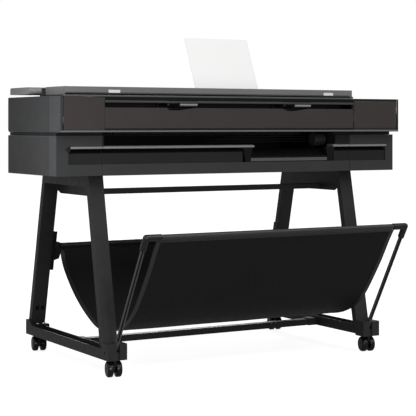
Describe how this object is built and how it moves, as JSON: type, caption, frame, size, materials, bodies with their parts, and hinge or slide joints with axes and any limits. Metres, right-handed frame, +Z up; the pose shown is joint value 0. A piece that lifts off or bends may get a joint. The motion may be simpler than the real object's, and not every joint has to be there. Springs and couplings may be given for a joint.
{
  "type": "large format plotter",
  "caption": "Wide roll plotter with a built-in sheet scanner, on an A-frame stand with casters and a hanging fabric print bin.",
  "frame": {"origin": "bottom centre of the overall box, on the floor", "axes": "+X to the user's right along the body, +Y to the back, +Z up; the print bin hangs out to -Y"},
  "size_m": [1.38, 0.9024, 1.1694],
  "materials": {
    "charcoal_cover": "fine moulded texture, satin charcoal",
    "graphite_chassis": "plain dark graphite moulding",
    "brown_panel": "smooth brown-grey, soft sheen",
    "light_trim": "silver-grey satin strip",
    "lever_grey": "light grey satin",
    "lid_grey": "mid grey fine texture",
    "dark_glass": "black gloss, glass-like",
    "black_plastic": "black moulded plastic",
    "roller_rubber": "fine matt rubber",
    "bright_steel": "brushed steel",
    "circuit_board": "green board",
    "paper": "plain white paper",
    "stand_paint": "dark grey powder coat",
    "wheel_tread": "black polyurethane, slightly glossy",
    "bin_fabric": "tight black polyester weave"
  },
  "bodies": {
    "plotter": {"left_lower_cover": "charcoal_cover", "right_lower_cover": "charcoal_cover", "base_chassis": "graphite_chassis", "lower_front_panel": "charcoal_cover", "output_ledge_left": "light_trim", "output_ledge_right": "light_trim", "sheet_output_chute": "graphite_chassis", "mid_frame": "graphite_chassis", "left_upper_cover": "charcoal_cover", "left_front_panel": "brown_panel", "right_upper_cover": "charcoal_cover", "scanner_base": "graphite_chassis", "scanner_glass": "dark_glass", "rear_cover": "charcoal_cover", "sheet_support": "graphite_chassis", "sheet_guide_fixed": "black_plastic", "carriage_rail": "bright_steel", "platen": "graphite_chassis", "ink_cartridges": "black_plastic", "main_board": "circuit_board", "power_supply": "bright_steel", "power_inlet": "black_plastic", "left_leg_frame": "stand_paint", "right_leg_frame": "stand_paint", "left_foot": "stand_paint", "right_foot": "stand_paint", "upper_cross_bar": "stand_paint", "lower_cross_bar": "stand_paint", "bin_sling": "bin_fabric", "bin_bracket_left": "black_plastic", "bin_bracket_right": "black_plastic", "bin_rear_rod": "stand_paint"},
    "bin_frame": {"bin_rod_left": "stand_paint", "bin_rod_right": "stand_paint", "bin_elbow_left": "black_plastic", "bin_elbow_right": "black_plastic", "bin_front_tube": "stand_paint", "bin_front_hem": "bin_fabric"},
    "front_cover": {"centre_front_cover": "brown_panel"},
    "ink_cover": {"ink_door": "brown_panel"},
    "lid": {"scanner_lid": "lid_grey"},
    "touch_panel": {"control_panel": "lid_grey", "control_screen": "dark_glass"},
    "button": {"power_button": "lever_grey"},
    "lever_left": {"left_release_lever": "lever_grey"},
    "lever_right": {"right_release_lever": "lever_grey"},
    "carriage": {"print_carriage": "black_plastic"},
    "spindle": {"roll_spindle": "black_plastic"},
    "feed": {"feed_roller": "roller_rubber"},
    "pinch": {"pinch_roller": "bright_steel"},
    "sheets": {"paper_sheets": "paper"},
    "guide": {"sheet_guide_sliding": "black_plastic"},
    "swivel_front_left": {"caster_fork_front_left": "black_plastic"},
    "wheels_front_left": {"caster_wheels_front_left": "wheel_tread"},
    "swivel_front_right": {"caster_fork_front_right": "black_plastic"},
    "wheels_front_right": {"caster_wheels_front_right": "wheel_tread"},
    "swivel_rear_left": {"caster_fork_rear_left": "black_plastic"},
    "wheels_rear_left": {"caster_wheels_rear_left": "wheel_tread"},
    "swivel_rear_right": {"caster_fork_rear_right": "black_plastic"},
    "wheels_rear_right": {"caster_wheels_rear_right": "wheel_tread"}
  },
  "joints": [
    {"name": "caster_swivel_front_left", "type": "hinge", "parent": "plotter", "child": "swivel_front_left", "pos_m": [-0.516, -0.22075, 0.06], "axis": [0, 0, 1], "continuous": true},
    {"name": "caster_roll_front_left", "type": "hinge", "parent": "swivel_front_left", "child": "wheels_front_left", "pos_m": [-0.51333, -0.20701, 0.027], "axis": [0.9816, -0.1908, 0], "continuous": true},
    {"name": "caster_swivel_front_right", "type": "hinge", "parent": "plotter", "child": "swivel_front_right", "pos_m": [0.516, -0.22075, 0.06], "axis": [0, 0, 1], "continuous": true},
    {"name": "caster_roll_front_right", "type": "hinge", "parent": "swivel_front_right", "child": "wheels_front_right", "pos_m": [0.51867, -0.20701, 0.027], "axis": [0.9816, -0.1908, 0], "continuous": true},
    {"name": "caster_swivel_rear_left", "type": "hinge", "parent": "plotter", "child": "swivel_rear_left", "pos_m": [-0.516, 0.42025, 0.06], "axis": [0, 0, 1], "continuous": true},
    {"name": "caster_roll_rear_left", "type": "hinge", "parent": "swivel_rear_left", "child": "wheels_rear_left", "pos_m": [-0.51867, 0.40651, 0.027], "axis": [0.9816, -0.1908, 0], "continuous": true},
    {"name": "caster_swivel_rear_right", "type": "hinge", "parent": "plotter", "child": "swivel_rear_right", "pos_m": [0.516, 0.42025, 0.06], "axis": [0, 0, 1], "continuous": true},
    {"name": "caster_roll_rear_right", "type": "hinge", "parent": "swivel_rear_right", "child": "wheels_rear_right", "pos_m": [0.51333, 0.40651, 0.027], "axis": [0.9816, -0.1908, 0], "continuous": true},
    {"name": "bin_swing", "type": "hinge", "parent": "plotter", "child": "bin_frame", "pos_m": [0, -0.22275, 0.096], "axis": [-1, 0, 0], "range_deg": [0, 38]},
    {"name": "front_cover_open", "type": "hinge", "parent": "plotter", "child": "front_cover", "pos_m": [0, -0.17275, 0.821], "axis": [1, 0, 0], "range_deg": [0, 90]},
    {"name": "ink_door_open", "type": "hinge", "parent": "plotter", "child": "ink_cover", "pos_m": [0.5825, -0.17275, 0.821], "axis": [1, 0, 0], "range_deg": [0, 90]},
    {"name": "lid_open", "type": "hinge", "parent": "plotter", "child": "lid", "pos_m": [0, 0.23925, 0.937], "axis": [-1, 0, 0], "range_deg": [0, 50]},
    {"name": "touch_panel_tilt", "type": "hinge", "parent": "plotter", "child": "touch_panel", "pos_m": [-0.63, 0.10025, 0.948], "axis": [1, 0, 0], "range_deg": [0, 40]},
    {"name": "power_press", "type": "slide", "parent": "touch_panel", "child": "button", "axis": [0, 0, -1], "range_m": [0, 0.0014], "stiffness_N_per_m": 150},
    {"name": "lever_left_lift", "type": "hinge", "parent": "plotter", "child": "lever_left", "pos_m": [-0.235, -0.10475, 0.902], "axis": [-1, 0, 0], "range_deg": [0, 7], "stiffness_Nm_per_rad": 0.6},
    {"name": "lever_right_lift", "type": "hinge", "parent": "plotter", "child": "lever_right", "pos_m": [0.235, -0.10475, 0.902], "axis": [-1, 0, 0], "range_deg": [0, 7], "stiffness_Nm_per_rad": 0.6},
    {"name": "carriage_travel", "type": "slide", "parent": "plotter", "child": "carriage", "axis": [-1, 0, 0], "range_m": [0, 1.15]},
    {"name": "spindle_turn", "type": "hinge", "parent": "plotter", "child": "spindle", "pos_m": [0, 0.01725, 0.733], "axis": [1, 0, 0], "continuous": true},
    {"name": "feed_roller_turn", "type": "hinge", "parent": "plotter", "child": "feed", "pos_m": [0, 0.12525, 0.8005], "axis": [1, 0, 0], "continuous": true},
    {"name": "pinch_roller_turn", "type": "hinge", "parent": "plotter", "child": "pinch", "pos_m": [0, 0.12525, 0.8188], "axis": [1, 0, 0], "continuous": true},
    {"name": "sheets_draw", "type": "slide", "parent": "plotter", "child": "sheets", "axis": [0, 0.4035, 0.915], "range_m": [0, 0.12]},
    {"name": "guide_slide", "type": "slide", "parent": "plotter", "child": "guide", "axis": [1, 0, 0], "range_m": [0, 0.06]}
  ],
  "couplings": [
    {"joint": "pinch_roller_turn", "follows": "feed_roller_turn", "ratio": -2}
  ]
}
